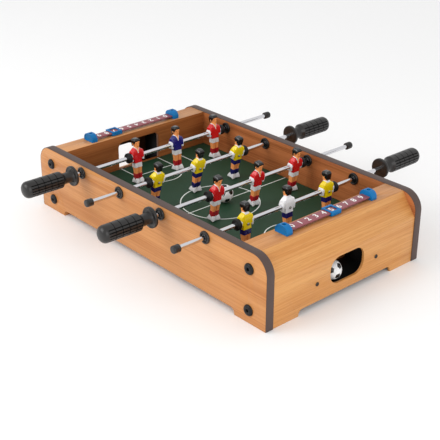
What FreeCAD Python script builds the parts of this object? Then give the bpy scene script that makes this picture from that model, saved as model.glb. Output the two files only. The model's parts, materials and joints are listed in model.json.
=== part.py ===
import FreeCAD, Part
import os
import Sketcher
from FreeCAD import Placement, Rotation, Vector

# Tabletop football game: X runs goal to goal, Y along the playing rods, Z up.
# The origin lies on the surface that the cabinet stands on, under the middle of the whole footprint,
# handles and rod ends included, so the cabinet's own mid-plane is at Y = mid_plane.

doc = FreeCAD.newDocument("TabletopFootball")
sheet = doc.addObject("Spreadsheet::Sheet", "Sizes")

driving = {
    # cabinet
    "table_length": 510.0, "table_width": 300.0, "table_height": 103.0, "mid_plane": -15.0,
    "panel_thick": 13.0, "band_thick": 1.0, "corner_round": 27.0, "foot_length": 59.0,
    "notch_height": 9.0, "notch_round": 7.0, "deck_height": 102.5, "shell_inset": 1.0,
    "shell_thick": 4.0, "fold_run": 24.0, "fold_bottom": 69.0, "block_depth": 57.0,
    "goal_wall_thick": 6.0, "goal_wall_foot": 12.0, "goal_width": 81.0, "goal_top": 91.5,
    "goal_round": 10.0,
    "pitch_height": 46.5, "pitch_thick": 3.0, "groove_depth": 4.0, "fit_gap": 0.1,
    "ball_hole_width": 66.0, "ball_hole_height": 40.0, "ball_hole_round": 17.0, "ball_hole_middle": 42.2,
    # ball trays
    "tray_floor_top": 18.5, "tray_wall": 2.0, "tray_width": 108.0, "tray_wall_top": 91.0,
    "tray_gap": 0.2, "tray_flange": 10.0, "tray_flange_low": 22.0, "tray_flange_high": 50.0,
    "tray_screw_out": 58.0, "tray_screw_height": 35.5,
    # corner joints
    "bolt_in": 32.0, "bolt_low": 19.0, "bolt_high": 78.5, "bolt_radius": 3.0, "bolt_length": 26.0,
    "bolt_head_radius": 8.0, "bolt_head_thick": 3.2, "socket_radius": 2.6, "socket_depth": 2.2,
    "insert_radius": 5.0, "insert_length": 16.0, "block_gap": 2.0, "block_length": 28.0,
    "block_width": 25.0, "block_low": 9.0, "block_high": 85.5,
    # small screws
    "screw_radius": 1.4, "screw_head_radius": 3.0, "screw_head_thick": 1.5, "screw_length": 12.0,
    # rods and what they run in
    "rod_radius": 3.2, "rod_height": 90.5, "rod_spacing": 93.0, "rod_short_end": 202.0,
    "rod_long_end": 238.0, "running_gap": 0.05, "bushing_radius": 9.0, "bushing_thick": 2.8,
    "sleeve_radius": 5.0, "sleeve_length": 6.3, "bumper_radius": 8.0, "bumper_thick": 6.0,
    "bumper_start": 91.0, "cap_start": 193.5, "cap_length": 11.0, "cap_radius": 5.5,
    "handle_start": 195.0, "flange_radius": 15.2, "flange_thick": 4.5, "neck_radius": 8.4,
    "neck_length": 15.0, "grip_radius": 12.5, "grip_length": 66.5, "grip_round": 9.0,
    # players
    "player_spacing": 79.0, "arm_radius": 5.6, "arm_width": 23.0, "head_radius": 6.8,
    "head_top": 28.0, "neck_thick": 2.8, "shoulder_height": 13.0, "chest_width": 19.0,
    "chest_depth": 11.6, "hip_height": -9.5, "shorts_width": 16.0, "shorts_depth": 10.5,
    "shorts_low": -17.0, "leg_width": 13.0, "leg_depth": 7.5, "boot_top": -35.5,
    "sole_height": -42.5, "boot_width": 14.5, "boot_depth": 12.5,
    "player_screw_height": -2.0, "player_screw_radius": 1.0, "player_screw_head": 2.2,
    # balls
    "ball_radius": 13.8, "pitch_ball_along": 4.1, "pitch_ball_across": 3.9,
    "tray_ball_along": 235.7, "tray_ball_across": -10.2,
    # score counters
    "counter_along": 213.5, "digit_spacing": 14.8, "strip_width": 14.6, "strip_low": 3.0,
    "strip_thick": 2.0, "bracket_inside": 76.5, "bracket_length": 10.2, "bracket_width": 22.4,
    "bracket_height": 12.2, "bracket_round": 9.0, "tongue_length": 3.0, "slider_length": 18.4,
    "slider_width": 19.8, "slider_low": 0.6, "slider_high": 6.8, "slider_gap": 0.3,
    "window_along": 12.8, "window_across": 12.2, "right_score": 5.0, "left_score": 7.0,
}


class Measure:
    """A size with the spreadsheet formula that it comes from."""

    def __init__(self, value, text):
        self.value = value
        self.text = text

    def join(self, other, sign, value):
        return Measure(value, f"({self.text} {sign} {as_measure(other).text})")

    def __add__(self, other):
        return self.join(other, "+", self.value + as_measure(other).value)

    def __sub__(self, other):
        return self.join(other, "-", self.value - as_measure(other).value)

    def __mul__(self, other):
        return self.join(other, "*", self.value * as_measure(other).value)

    def __truediv__(self, other):
        return self.join(other, "/", self.value / as_measure(other).value)

    def __neg__(self):
        return self * -1


def as_measure(size):
    if isinstance(size, Measure):
        return size
    return Measure(float(size), f"{float(size):.4f}")


def root(size):
    return Measure(size.value ** 0.5, f"sqrt({size.text})")


class Sizes:
    """The driving dimensions, one spreadsheet row each."""

    def __init__(self, values):
        for row, (name, value) in enumerate(values.items(), start=1):
            sheet.set(f"A{row}", name)
            sheet.set(f"B{row}", str(value))
            sheet.setAlias(f"B{row}", name)
            setattr(self, name, Measure(value, f"Sizes.{name}"))


d = Sizes(driving)
doc.recompute()
subparts = []


# ---- helpers: placing, primitives and booleans ----

def bind(obj, name, size):
    obj.setExpression(name, as_measure(size).text)


def place(obj, x=0, y=0, z=0, axis=(0, 0, 1), angle=0):
    spot = [as_measure(x), as_measure(y), as_measure(z)]
    turn = Rotation(Vector(*axis), angle)
    obj.Placement = Placement(Vector(*[c.value for c in spot]), turn)
    for name, coordinate in zip("xyz", spot):
        bind(obj, f"Placement.Base.{name}", coordinate)
    return obj


def keep(label, obj):
    obj.Label = label
    subparts.append(obj)
    return obj


def box(x, y, z, low):
    piece = doc.addObject("Part::Box", "Box")
    bind(piece, "Length", x)
    bind(piece, "Width", y)
    bind(piece, "Height", z)
    return place(piece, *low)


def centred_box(x, y, z, middle_x, middle_y, low_z):
    return box(x, y, z, (as_measure(middle_x) - x / 2, as_measure(middle_y) - y / 2, low_z))


def bar(radius, length, start, axis=(1, 0, 0), angle=-90):
    """A cylinder from start; by default it runs along +Y."""
    piece = doc.addObject("Part::Cylinder", "Cylinder")
    bind(piece, "Radius", radius)
    bind(piece, "Height", length)
    return place(piece, *start, axis, angle)


def taper(radius, end_radius, length, start, axis=(1, 0, 0), angle=-90):
    piece = doc.addObject("Part::Cone", "Cone")
    bind(piece, "Radius1", radius)
    bind(piece, "Radius2", end_radius)
    bind(piece, "Height", length)
    return place(piece, *start, axis, angle)


def ball(radius, middle):
    piece = doc.addObject("Part::Sphere", "Sphere")
    bind(piece, "Radius", radius)
    return place(piece, *middle)


def fused(pieces):
    result = doc.addObject("Part::MultiFuse", "Fused")
    result.Shapes = pieces
    result.Refine = True
    return result


def without(base, tool):
    result = doc.addObject("Part::Cut", "Cut")
    result.Base = base
    result.Tool = tool
    result.Refine = True
    return result


def group(pieces):
    result = doc.addObject("Part::Compound", "Group")
    result.Links = pieces
    return result


# ---- helpers: bodies from sketches ----

def new_body():
    return doc.addObject("PartDesign::Body", "Body")


def new_sketch(body, role):
    plane = next(o for o in body.Origin.OriginFeatures if o.Role == role)
    sketch = body.newObject("Sketcher::SketchObject", "Sketch")
    sketch.AttachmentSupport = (plane, [""])
    sketch.MapMode = "FlatFace"
    return sketch


def fix_point(sketch, geometry, end, spot):
    for kind, size in zip(("DistanceX", "DistanceY"), spot):
        index = sketch.addConstraint(Sketcher.Constraint(kind, -1, 1, geometry, end, size.value))
        sketch.setExpression(f"Constraints[{index}]", size.text)


def outline(sketch, corners):
    """A closed outline through corners (x, y) or (x, y, radius); a rounded corner is a right angle."""
    spots = [(as_measure(c[0]), as_measure(c[1])) for c in corners]
    rounds = [as_measure(c[2]) if len(c) == 3 else None for c in corners]
    count = len(corners)

    def unit(first, second):
        run = Vector(second[0].value - first[0].value, second[1].value - first[1].value, 0)
        return run.normalize()

    def moved(spot, direction, distance):
        return (spot[0] + distance * direction.x, spot[1] + distance * direction.y)

    arrive, leave = [], []
    for i, spot in enumerate(spots):
        before = unit(spots[i - 1], spot)
        after = unit(spot, spots[(i + 1) % count])
        radius = rounds[i]
        arrive.append(moved(spot, before, -radius) if radius else spot)
        leave.append(moved(spot, after, radius) if radius else spot)

    def vector(spot):
        return Vector(spot[0].value, spot[1].value, 0)

    lines = []
    for i in range(count):
        line = Part.LineSegment(vector(leave[i]), vector(arrive[(i + 1) % count]))
        lines.append(sketch.addGeometry(line, False))
        fix_point(sketch, lines[i], 1, leave[i])
        if rounds[(i + 1) % count]:
            fix_point(sketch, lines[i], 2, arrive[(i + 1) % count])
    for i in range(count):
        incoming = lines[i - 1]
        if not rounds[i]:
            sketch.addConstraint(Sketcher.Constraint("Coincident", incoming, 2, lines[i], 1))
            continue
        start, end = vector(arrive[i]), vector(leave[i])
        corner = vector(spots[i])
        centre = start + end - corner
        left_turn = (corner - start).cross(end - corner).z > 0
        middle = centre + (corner - centre).normalize() * rounds[i].value
        curve = Part.Arc(start, middle, end) if left_turn else Part.Arc(end, middle, start)
        arc = sketch.addGeometry(curve, False)
        first, last = (1, 2) if left_turn else (2, 1)
        sketch.addConstraint(Sketcher.Constraint("Coincident", incoming, 2, arc, first))
        sketch.addConstraint(Sketcher.Constraint("Coincident", arc, last, lines[i], 1))
        index = sketch.addConstraint(Sketcher.Constraint("Radius", arc, rounds[i].value))
        sketch.setExpression(f"Constraints[{index}]", rounds[i].text)


def rectangle(sketch, x_low, y_low, x_high, y_high):
    outline(sketch, [(x_low, y_low), (x_high, y_low), (x_high, y_high), (x_low, y_high)])


def hole(sketch, x, y, radius):
    spot = (as_measure(x), as_measure(y))
    circle = Part.Circle(Vector(spot[0].value, spot[1].value, 0), Vector(0, 0, 1), radius.value)
    index = sketch.addGeometry(circle, False)
    fix_point(sketch, index, 3, spot)
    limit = sketch.addConstraint(Sketcher.Constraint("Radius", index, radius.value))
    sketch.setExpression(f"Constraints[{limit}]", radius.text)


def pad(body, sketch, length, midplane=False, backwards=False):
    feature = body.newObject("PartDesign::Pad", "Pad")
    feature.Profile = sketch
    feature.Midplane = midplane
    feature.Reversed = backwards
    bind(feature, "Length", length)
    return feature


def pocket(body, sketch, length=None, midplane=False, backwards=False):
    feature = body.newObject("PartDesign::Pocket", "Pocket")
    feature.Profile = sketch
    feature.Midplane = midplane
    feature.Reversed = backwards
    if length is None:
        feature.Type = "ThroughAll"
    else:
        bind(feature, "Length", length)
    return feature


def turned(corners, *start, axis=(0, 0, 1), angle=0):
    """A body turned about its own Y axis; corners are (radius, distance along Y)."""
    body = new_body()
    sketch = new_sketch(body, "XY_Plane")
    outline(sketch, corners)
    feature = body.newObject("PartDesign::Revolution", "Revolution")
    feature.Profile = sketch
    feature.ReferenceAxis = (sketch, ["V_Axis"])
    feature.Angle = 360
    return place(body, *start, axis, angle)


# ---- places that several pieces share ----

half_length = d.table_length / 2
half_inside = d.table_width / 2 - d.panel_thick
outer_face = half_length - d.shell_inset
inner_face = outer_face - d.shell_thick
pitch_end = half_length - d.block_depth
goal_wall_back = pitch_end + d.goal_wall_thick
pitch_under = d.pitch_height - d.pitch_thick
bolt_out = half_length - d.bolt_in
foot_inside = half_length - d.foot_length
bore_radius = d.rod_radius + d.running_gap
ends = (("right", 0), ("left", 180))
sides = (("rear", 1, 0), ("front", -1, 180))


# ---- cabinet panels ----

def side_panel(label, side, turn):
    body = new_body()
    face = new_sketch(body, "XZ_Plane")
    end = half_length - d.band_thick
    top = d.table_height - d.band_thick
    corner = d.corner_round - d.band_thick
    outline(face, [
        (-end, 0), (-foot_inside, 0), (-foot_inside, d.notch_height, d.notch_round),
        (foot_inside, d.notch_height, d.notch_round), (foot_inside, 0), (end, 0),
        (end, top, corner), (-end, top, corner)])
    pad(body, face, d.panel_thick, backwards=True)
    groove = new_sketch(body, "XZ_Plane")
    rectangle(groove, -(pitch_end + d.fit_gap), pitch_under - d.fit_gap,
              pitch_end + d.fit_gap, d.pitch_height + d.fit_gap)
    pocket(body, groove, d.groove_depth + d.fit_gap)
    holes = new_sketch(body, "XZ_Plane")
    for step in (-1.5, -0.5, 0.5, 1.5):
        hole(holes, d.rod_spacing * step, d.rod_height, d.sleeve_radius + d.fit_gap)
    for x in (-bolt_out, bolt_out):
        for z in (d.bolt_low, d.bolt_high):
            hole(holes, x, z, d.bolt_radius + d.fit_gap)
    pocket(body, holes)
    place(body, 0, d.mid_plane + half_inside * side, 0, angle=turn)
    return keep(label, body)


def edge_trim(label, side, turn):
    body = new_body()
    face = new_sketch(body, "XZ_Plane")
    inner = half_length - d.band_thick
    inner_top = d.table_height - d.band_thick
    inner_corner = d.corner_round - d.band_thick
    outline(face, [
        (half_length, 0), (half_length, d.table_height, d.corner_round),
        (-half_length, d.table_height, d.corner_round), (-half_length, 0), (-inner, 0),
        (-inner, inner_top, inner_corner), (inner, inner_top, inner_corner), (inner, 0)])
    pad(body, face, d.panel_thick, backwards=True)
    place(body, 0, d.mid_plane + half_inside * side, 0, angle=turn)
    return keep(label, body)


def end_shell(label, turn):
    body = new_body()
    face = new_sketch(body, "XZ_Plane")
    rise = d.deck_height - d.fold_bottom
    slope = root(d.fold_run * d.fold_run + rise * rise)
    low_shift = d.shell_thick * d.fold_run / (slope + rise)
    high_shift = d.shell_thick * rise / (slope + d.fold_run)
    fold_top = outer_face - d.fold_run
    deck_under = d.deck_height - d.shell_thick
    outline(face, [
        (inner_face, 0), (outer_face, 0), (outer_face, d.fold_bottom), (fold_top, d.deck_height),
        (pitch_end, d.deck_height), (goal_wall_back, deck_under),
        (fold_top - high_shift, deck_under), (inner_face, d.fold_bottom - low_shift)])
    pad(body, face, half_inside * 2, midplane=True)
    cuts = new_sketch(body, "YZ_Plane")
    half_hole = d.ball_hole_width / 2
    hole_low = d.ball_hole_middle - d.ball_hole_height / 2
    hole_high = d.ball_hole_middle + d.ball_hole_height / 2
    outline(cuts, [
        (-half_hole, hole_low, d.ball_hole_round), (half_hole, hole_low, d.ball_hole_round),
        (half_hole, hole_high, d.ball_hole_round), (-half_hole, hole_high, d.ball_hole_round)])
    for y in (-d.tray_screw_out, d.tray_screw_out):
        hole(cuts, y, d.tray_screw_height, d.screw_radius + d.fit_gap)
    pocket(body, cuts, backwards=True)
    notch = new_sketch(body, "YZ_Plane")
    foot = d.table_width / 2 - d.foot_length
    outline(notch, [
        (-foot, -1), (foot, -1), (foot, d.notch_height, d.notch_round),
        (-foot, d.notch_height, d.notch_round)])
    pocket(body, notch, backwards=True)
    pilots = new_sketch(body, "XY_Plane")
    for side in (-1, 1):
        across = (d.bracket_inside + d.bracket_length / 2) * side
        hole(pilots, d.counter_along, across, d.screw_radius + d.fit_gap)
    pocket(body, pilots, backwards=True)
    place(body, 0, d.mid_plane, 0, angle=turn)
    return keep(label, body)


def goal_wall(label, turn):
    body = new_body()
    face = new_sketch(body, "XZ_Plane")
    outline(face, [
        (pitch_end, d.goal_wall_foot), (goal_wall_back, d.goal_wall_foot),
        (goal_wall_back, d.deck_height - d.shell_thick), (pitch_end, d.deck_height)])
    pad(body, face, half_inside * 2, midplane=True)
    mouth = new_sketch(body, "YZ_Plane")
    half_goal = d.goal_width / 2
    outline(mouth, [
        (-half_goal, d.pitch_height), (half_goal, d.pitch_height),
        (half_goal, d.goal_top, d.goal_round), (-half_goal, d.goal_top, d.goal_round)])
    pocket(body, mouth, backwards=True)
    place(body, 0, d.mid_plane, 0, angle=turn)
    return keep(label, body)


def ball_tray(label, turn):
    body = new_body()
    side = new_sketch(body, "XZ_Plane")
    near = goal_wall_back + d.tray_gap
    far = inner_face - d.tray_gap
    low = d.tray_floor_top - d.tray_wall
    fold_low = d.fold_bottom - d.tray_wall - d.tray_wall
    outline(side, [
        (near, low), (far, low), (far, fold_low),
        (far - d.fold_run * 0.8, d.tray_wall_top), (near, d.tray_wall_top)])
    pad(body, side, d.tray_width, midplane=True)
    flange = new_sketch(body, "XZ_Plane")
    rectangle(flange, far - d.tray_wall, d.tray_flange_low, far, d.tray_flange_high)
    pad(body, flange, d.tray_width + d.tray_flange * 2, midplane=True)
    hollow = new_sketch(body, "XZ_Plane")
    rectangle(hollow, pitch_end, d.tray_floor_top, half_length, d.table_height)
    pocket(body, hollow, d.tray_width - d.tray_wall * 2, midplane=True)
    screws = new_sketch(body, "YZ_Plane")
    for y in (-d.tray_screw_out, d.tray_screw_out):
        hole(screws, y, d.tray_screw_height, d.screw_radius + d.fit_gap)
    pocket(body, screws, backwards=True)
    place(body, 0, d.mid_plane, 0, angle=turn)
    return keep(label, body)


for name, side, turn in sides:
    side_panel(f"{name}_side_panel", side, turn)
    edge_trim(f"{name}_edge_trim", side, turn)
for name, turn in ends:
    end_shell(f"{name}_end_shell", turn)
    goal_wall(f"{name}_goal_wall", turn)
    ball_tray(f"{name}_ball_tray", turn)

pitch_width = (half_inside + d.groove_depth) * 2
keep("playfield", centred_box(pitch_end * 2, pitch_width, d.pitch_thick, 0, d.mid_plane, pitch_under))


# ---- corner joints ----

def corner_block(end, side):
    middle_x = (goal_wall_back + d.block_gap + d.block_length / 2) * end
    middle_y = d.mid_plane + (half_inside - d.block_width / 2) * side
    height = d.block_high - d.block_low
    block = centred_box(d.block_length, d.block_width, height, middle_x, middle_y, d.block_low)
    tools = []
    for z in (d.bolt_low, d.bolt_high):
        start = (bolt_out * end, middle_y - d.block_width, z)
        tools.append(bar(d.insert_radius + d.fit_gap, d.block_width * 2, start))
    return without(block, fused(tools))


def outward(side):
    """The turn that points a cylinder to the outside of a long side."""
    return -90 * side


def panel_bolt(end, side, z):
    x = bolt_out * end
    face = d.mid_plane + d.table_width / 2 * side
    rim = d.bolt_head_thick / 2
    head_start = (x, face, z)
    dome_start = (x, face + rim * side, z)
    shank_start = (x, face - d.bolt_length * side, z)
    turn = outward(side)
    head = bar(d.bolt_head_radius, rim, head_start, angle=turn)
    dome = taper(d.bolt_head_radius, d.bolt_head_radius * 0.7, rim, dome_start, angle=turn)
    shank = bar(d.bolt_radius, d.bolt_length, shank_start, angle=turn)
    socket = doc.addObject("Part::Prism", "Prism")
    socket.Polygon = 6
    bind(socket, "Circumradius", d.socket_radius)
    bind(socket, "Height", d.bolt_head_thick)
    socket_start = face + (d.bolt_head_thick - d.socket_depth) * side
    place(socket, x, socket_start, z, (1, 0, 0), turn)
    return without(fused([head, dome, shank]), socket)


def insert_nut(end, side, z):
    x = bolt_out * end
    start = d.mid_plane + (half_inside - d.insert_length) * side
    turn = outward(side)
    sleeve = bar(d.insert_radius, d.insert_length, (x, start, z), angle=turn)
    thread = bar(d.bolt_radius + d.fit_gap, d.insert_length, (x, start, z), angle=turn)
    return without(sleeve, thread)


corners = [(end, side) for end in (-1, 1) for side in (-1, 1)]
joints = [(end, side, z) for end, side in corners for z in (d.bolt_low, d.bolt_high)]
keep("corner_blocks", group([corner_block(end, side) for end, side in corners]))
keep("panel_bolts", group([panel_bolt(end, side, z) for end, side, z in joints]))
keep("insert_nuts", group([insert_nut(end, side, z) for end, side, z in joints]))


# ---- small screws ----

def tray_screw(end, side):
    y = d.mid_plane + d.tray_screw_out * side
    z = d.tray_screw_height
    axis, angle = (0, 1, 0), 90 * end
    shank_start = ((outer_face - d.screw_length) * end, y, z)
    shank = bar(d.screw_radius, d.screw_length, shank_start, axis, angle)
    head = bar(d.screw_head_radius, d.screw_head_thick, (outer_face * end, y, z), axis, angle)
    return fused([shank, head])


def score_screw(end, side):
    x = d.counter_along * end
    y = d.mid_plane + (d.bracket_inside + d.bracket_length / 2) * side
    shank_low = d.deck_height - d.shell_thick
    seat = d.deck_height + d.bracket_height / 2
    axis, angle = (0, 0, 1), 0
    shank = bar(d.screw_radius, seat - shank_low, (x, y, shank_low), axis, angle)
    head = bar(d.screw_head_radius - d.fit_gap, d.screw_head_thick, (x, y, seat), axis, angle)
    return fused([shank, head])


keep("tray_screws", group([tray_screw(end, side) for end, side in corners]))
keep("score_screws", group([score_screw(end, side) for end, side in corners]))


# ---- bushings in the long sides ----

def bushing(x, side, inward):
    """A flanged sleeve; inward is -1 for the bushing on the outer face and 1 for the inner one."""
    face = half_inside if inward > 0 else half_inside + d.panel_thick
    start = d.mid_plane + face * side
    out = -inward * side
    rim = d.bushing_thick / 2
    turn = outward(out)
    into = outward(-out)
    z = d.rod_height
    flange = bar(d.bushing_radius, rim, (x, start, z), angle=turn)
    crown = taper(d.bushing_radius, d.bushing_radius * 0.75, rim, (x, start + rim * out, z), angle=turn)
    sleeve = bar(d.sleeve_radius, d.sleeve_length, (x, start, z), angle=into)
    bore_start = (x, start - d.sleeve_length * 2 * out, z)
    bore = bar(bore_radius, d.sleeve_length * 4, bore_start, angle=turn)
    return without(fused([flange, crown, sleeve]), bore)


rod_places = [(1, -1.5, -1), (2, -0.5, 1), (3, 0.5, -1), (4, 1.5, 1)]
for label, inward in (("outer_bushings", -1), ("inner_bushings", 1)):
    pieces = []
    for number, step, handle_side in rod_places:
        for side in (-1, 1):
            pieces.append(bushing(d.rod_spacing * step, side, inward))
    keep(label, group(pieces))


# ---- score counters ----

def score_strip(label, end):
    length = (d.bracket_inside + d.tongue_length) * 2
    low = d.deck_height + d.strip_low
    strip = centred_box(d.strip_width, length, d.strip_thick, d.counter_along * end, d.mid_plane, low)
    return keep(label, strip)


def score_bracket(end, side):
    body = new_body()
    face = new_sketch(body, "XZ_Plane")
    half = d.bracket_width / 2
    outline(face, [
        (-half, 0), (half, 0), (half, d.bracket_height, d.bracket_round),
        (-half, d.bracket_height, d.bracket_round)])
    pad(body, face, d.bracket_length, backwards=True)
    slot = new_sketch(body, "XZ_Plane")
    half_slot = d.strip_width / 2 + d.fit_gap
    rectangle(slot, -half_slot, d.strip_low - d.fit_gap,
              half_slot, d.strip_low + d.strip_thick + d.fit_gap)
    pocket(body, slot, d.tongue_length + d.fit_gap)
    place(body, d.counter_along * end, d.mid_plane + d.bracket_inside * side, d.deck_height,
          angle=0 if side > 0 else 180)
    x = d.counter_along * end
    y = d.mid_plane + (d.bracket_inside + d.bracket_length / 2) * side
    seat = d.deck_height + d.bracket_height / 2
    through = bar(d.screw_radius + d.fit_gap, d.bracket_height, (x, y, d.deck_height), (0, 0, 1), 0)
    well = bar(d.screw_head_radius, d.bracket_height, (x, y, seat), (0, 0, 1), 0)
    return without(body, fused([through, well]))


def score_slider(label, end, score):
    x = d.counter_along * end
    y = d.mid_plane + d.digit_spacing * (score - 4.5) * end
    low = d.deck_height + d.slider_low
    height = d.slider_high - d.slider_low
    frame = centred_box(d.slider_width, d.slider_length, height, x, y, low)
    slot_low = d.deck_height + d.strip_low - d.slider_gap
    slot = centred_box(d.strip_width + d.slider_gap * 2, d.slider_length * 2,
                       d.strip_thick + d.slider_gap * 2, x, y, slot_low)
    window = centred_box(d.window_along, d.window_across, d.slider_high, x, y,
                         d.deck_height + d.strip_low)
    return keep(label, without(frame, fused([slot, window])))


for name, end, score in (("right", 1, d.right_score), ("left", -1, d.left_score)):
    score_strip(f"{name}_score_strip", end)
    keep(f"{name}_score_brackets", group([score_bracket(end, side) for side in (-1, 1)]))
    score_slider(f"{name}_score_slider", end, score)


# ---- balls ----

pitch_ball_middle = (d.pitch_ball_along, d.mid_plane + d.pitch_ball_across, d.pitch_height + d.ball_radius)
keep("pitch_ball", ball(d.ball_radius, pitch_ball_middle))
tray_ball_middle = (d.tray_ball_along, d.mid_plane + d.tray_ball_across, d.tray_floor_top + d.ball_radius)
keep("tray_ball", ball(d.ball_radius, tray_ball_middle))


# ---- rods with their players ----

def spun(obj, x, y, spin):
    """Moves a piece made round the Y axis to its place on a rod and turns it about the rod's axis."""
    return place(obj, x, y, d.rod_height, (0, 1, 0), spin)


def player(label, x, y, facing, spin):
    arms = bar(d.arm_radius, d.arm_width, (0, -d.arm_width / 2, 0))
    head = ball(d.head_radius, (0, 0, d.head_top - d.head_radius))
    neck_length = d.head_top - d.shoulder_height - d.head_radius
    neck = bar(d.neck_thick, neck_length, (0, 0, d.shoulder_height), (0, 0, 1), 0)
    chest_height = d.shoulder_height - d.hip_height
    chest = centred_box(d.chest_depth, d.chest_width, chest_height, 0, 0, d.hip_height)
    shorts_height = d.hip_height - d.shorts_low
    shorts = centred_box(d.shorts_depth, d.shorts_width, shorts_height, 0, 0, d.shorts_low)
    legs_height = d.shorts_low - d.boot_top
    legs = centred_box(d.leg_depth, d.leg_width, legs_height, 0, 0, d.boot_top)
    boots_height = d.boot_top - d.sole_height
    boots = centred_box(d.boot_depth, d.boot_width, boots_height, 0, 0, d.sole_height)
    rod_hole = bar(d.rod_radius + d.fit_gap, d.arm_width * 2, (0, -d.arm_width, 0))
    back = -d.chest_depth * facing
    screw_hole = bar(d.player_screw_radius + d.fit_gap, d.chest_depth,
                     (back, 0, d.player_screw_height), (0, 1, 0), 90 * facing)
    figure = fused([arms, head, neck, chest, shorts, legs, boots])
    return keep(label, spun(without(figure, fused([rod_hole, screw_hole])), x, y, spin))


def player_screw(x, y, facing, spin):
    back = -d.chest_depth / 2 * facing
    head_start = (back - d.screw_head_thick * facing, 0, d.player_screw_height)
    axis, angle = (0, 1, 0), 90 * facing
    head = bar(d.player_screw_head, d.screw_head_thick, head_start, axis, angle)
    shank = bar(d.player_screw_radius, d.chest_depth / 2, (back, 0, d.player_screw_height), axis, angle)
    return spun(fused([head, shank]), x, y, spin)


def bumper(x, y, side):
    start = y + d.bumper_start * side
    turn = outward(side)
    z = d.rod_height
    ring = bar(d.bumper_radius, d.bumper_thick, (x, start, z), angle=turn)
    bore = bar(bore_radius, d.bumper_thick, (x, start, z), angle=turn)
    return without(ring, bore)


def rod_set(number, x, shift, spin, handle_side, facing):
    """One rod, pushed along Y by shift and turned by spin at rest, with its handle on handle_side."""
    y = d.mid_plane + shift
    z = d.rod_height
    keep(f"rod_{number}_bumpers", group([bumper(x, y, side) for side in (-1, 1)]))
    turn = outward(handle_side)
    rod_start = (0, -d.rod_short_end * handle_side, 0)
    rod = bar(d.rod_radius, d.rod_short_end + d.rod_long_end, rod_start, angle=turn)
    steps = [d.player_spacing * step for step in (-1, 0, 1)]
    tools = []
    for step in steps:
        start = (-d.chest_depth * facing, step, d.player_screw_height)
        tools.append(bar(d.player_screw_radius + d.fit_gap, d.chest_depth + d.fit_gap, start,
                         (0, 1, 0), 90 * facing))
    keep(f"rod_{number}_bar", spun(without(rod, fused(tools)), x, y, spin))

    grip_start = d.flange_thick + d.neck_length
    handle_length = grip_start + d.grip_length
    bore = d.rod_radius + d.fit_gap
    bore_depth = d.rod_long_end - d.handle_start + d.fit_gap
    handle = turned([
        (0, bore_depth), (bore, bore_depth), (bore, 0), (d.flange_radius, 0),
        (d.flange_radius, d.flange_thick), (d.neck_radius, d.flange_thick),
        (d.neck_radius, grip_start), (d.grip_radius, grip_start),
        (d.grip_radius, handle_length, d.grip_round), (0, handle_length)],
        x, y + d.handle_start * handle_side, z, angle=0 if handle_side > 0 else 180)
    keep(f"rod_{number}_handle", handle)

    cap_depth = d.rod_short_end - d.cap_start + d.fit_gap
    cap = turned([
        (0, cap_depth), (bore, cap_depth), (bore, 0), (d.cap_radius, 0),
        (d.cap_radius, d.cap_length, d.cap_radius / 4), (0, d.cap_length)],
        x, y - d.cap_start * handle_side, z, angle=180 if handle_side > 0 else 0)
    keep(f"rod_{number}_end_cap", cap)

    for name, step in zip(("front", "middle", "rear"), steps):
        player(f"rod_{number}_{name}_player", x, y + step, facing, spin)
    screws = [player_screw(x, y + step, facing, spin) for step in steps]
    keep(f"rod_{number}_player_screws", group(screws))


rest_shifts = {1: 30.0, 2: -3.5, 3: 30.0, 4: -0.5}
rest_spins = {1: -4.0, 2: 10.0, 3: 8.0, 4: -3.0}
for number, step, handle_side in rod_places:
    facing = 1 if handle_side < 0 else -1
    rod_set(number, d.rod_spacing * step, rest_shifts[number], rest_spins[number], handle_side, facing)


# ---- check and write ----

doc.recompute()
for obj in doc.Objects:
    if "Invalid" in obj.State or "Error" in obj.State:
        raise RuntimeError(f"{obj.Name} ({obj.Label}) failed: {obj.State}")
os.makedirs("parts", exist_ok=True)
for obj in subparts:
    if obj.Shape.isNull() or not obj.Shape.isValid():
        raise RuntimeError(f"{obj.Label} has no valid shape")
for obj in subparts:
    obj.Shape.exportStep(f"parts/{obj.Label}.step")
    print(obj.Label, len(obj.Shape.Solids), "solids", round(obj.Shape.Volume, 1), "mm3")
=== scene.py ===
import bmesh
import bpy
import json
import math
from mathutils import Matrix, Vector

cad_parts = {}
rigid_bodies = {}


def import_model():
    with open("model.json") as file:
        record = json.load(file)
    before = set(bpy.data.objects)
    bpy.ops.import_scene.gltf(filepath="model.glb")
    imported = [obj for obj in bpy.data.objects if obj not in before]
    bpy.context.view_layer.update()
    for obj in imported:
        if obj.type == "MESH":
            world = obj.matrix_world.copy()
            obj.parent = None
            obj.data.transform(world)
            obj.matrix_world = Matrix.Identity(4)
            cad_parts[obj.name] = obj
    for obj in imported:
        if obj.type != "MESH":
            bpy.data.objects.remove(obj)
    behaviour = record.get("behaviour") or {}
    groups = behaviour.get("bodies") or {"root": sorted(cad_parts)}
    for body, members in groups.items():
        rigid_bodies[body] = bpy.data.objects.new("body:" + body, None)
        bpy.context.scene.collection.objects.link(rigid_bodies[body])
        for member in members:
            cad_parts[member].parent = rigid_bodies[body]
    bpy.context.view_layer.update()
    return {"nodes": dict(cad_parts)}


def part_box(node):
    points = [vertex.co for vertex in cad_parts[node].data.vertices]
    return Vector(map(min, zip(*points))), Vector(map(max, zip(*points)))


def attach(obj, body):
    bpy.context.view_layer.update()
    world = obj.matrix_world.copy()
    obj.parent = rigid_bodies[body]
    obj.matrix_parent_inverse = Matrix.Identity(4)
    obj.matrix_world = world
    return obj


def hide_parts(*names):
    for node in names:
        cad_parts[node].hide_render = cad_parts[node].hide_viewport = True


# Tabletop football game: cabinet, four rods with their figures, two score counters and two balls.
# Sizes are in metres unless a note says millimetres. Places come from the CAD nodes.

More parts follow.
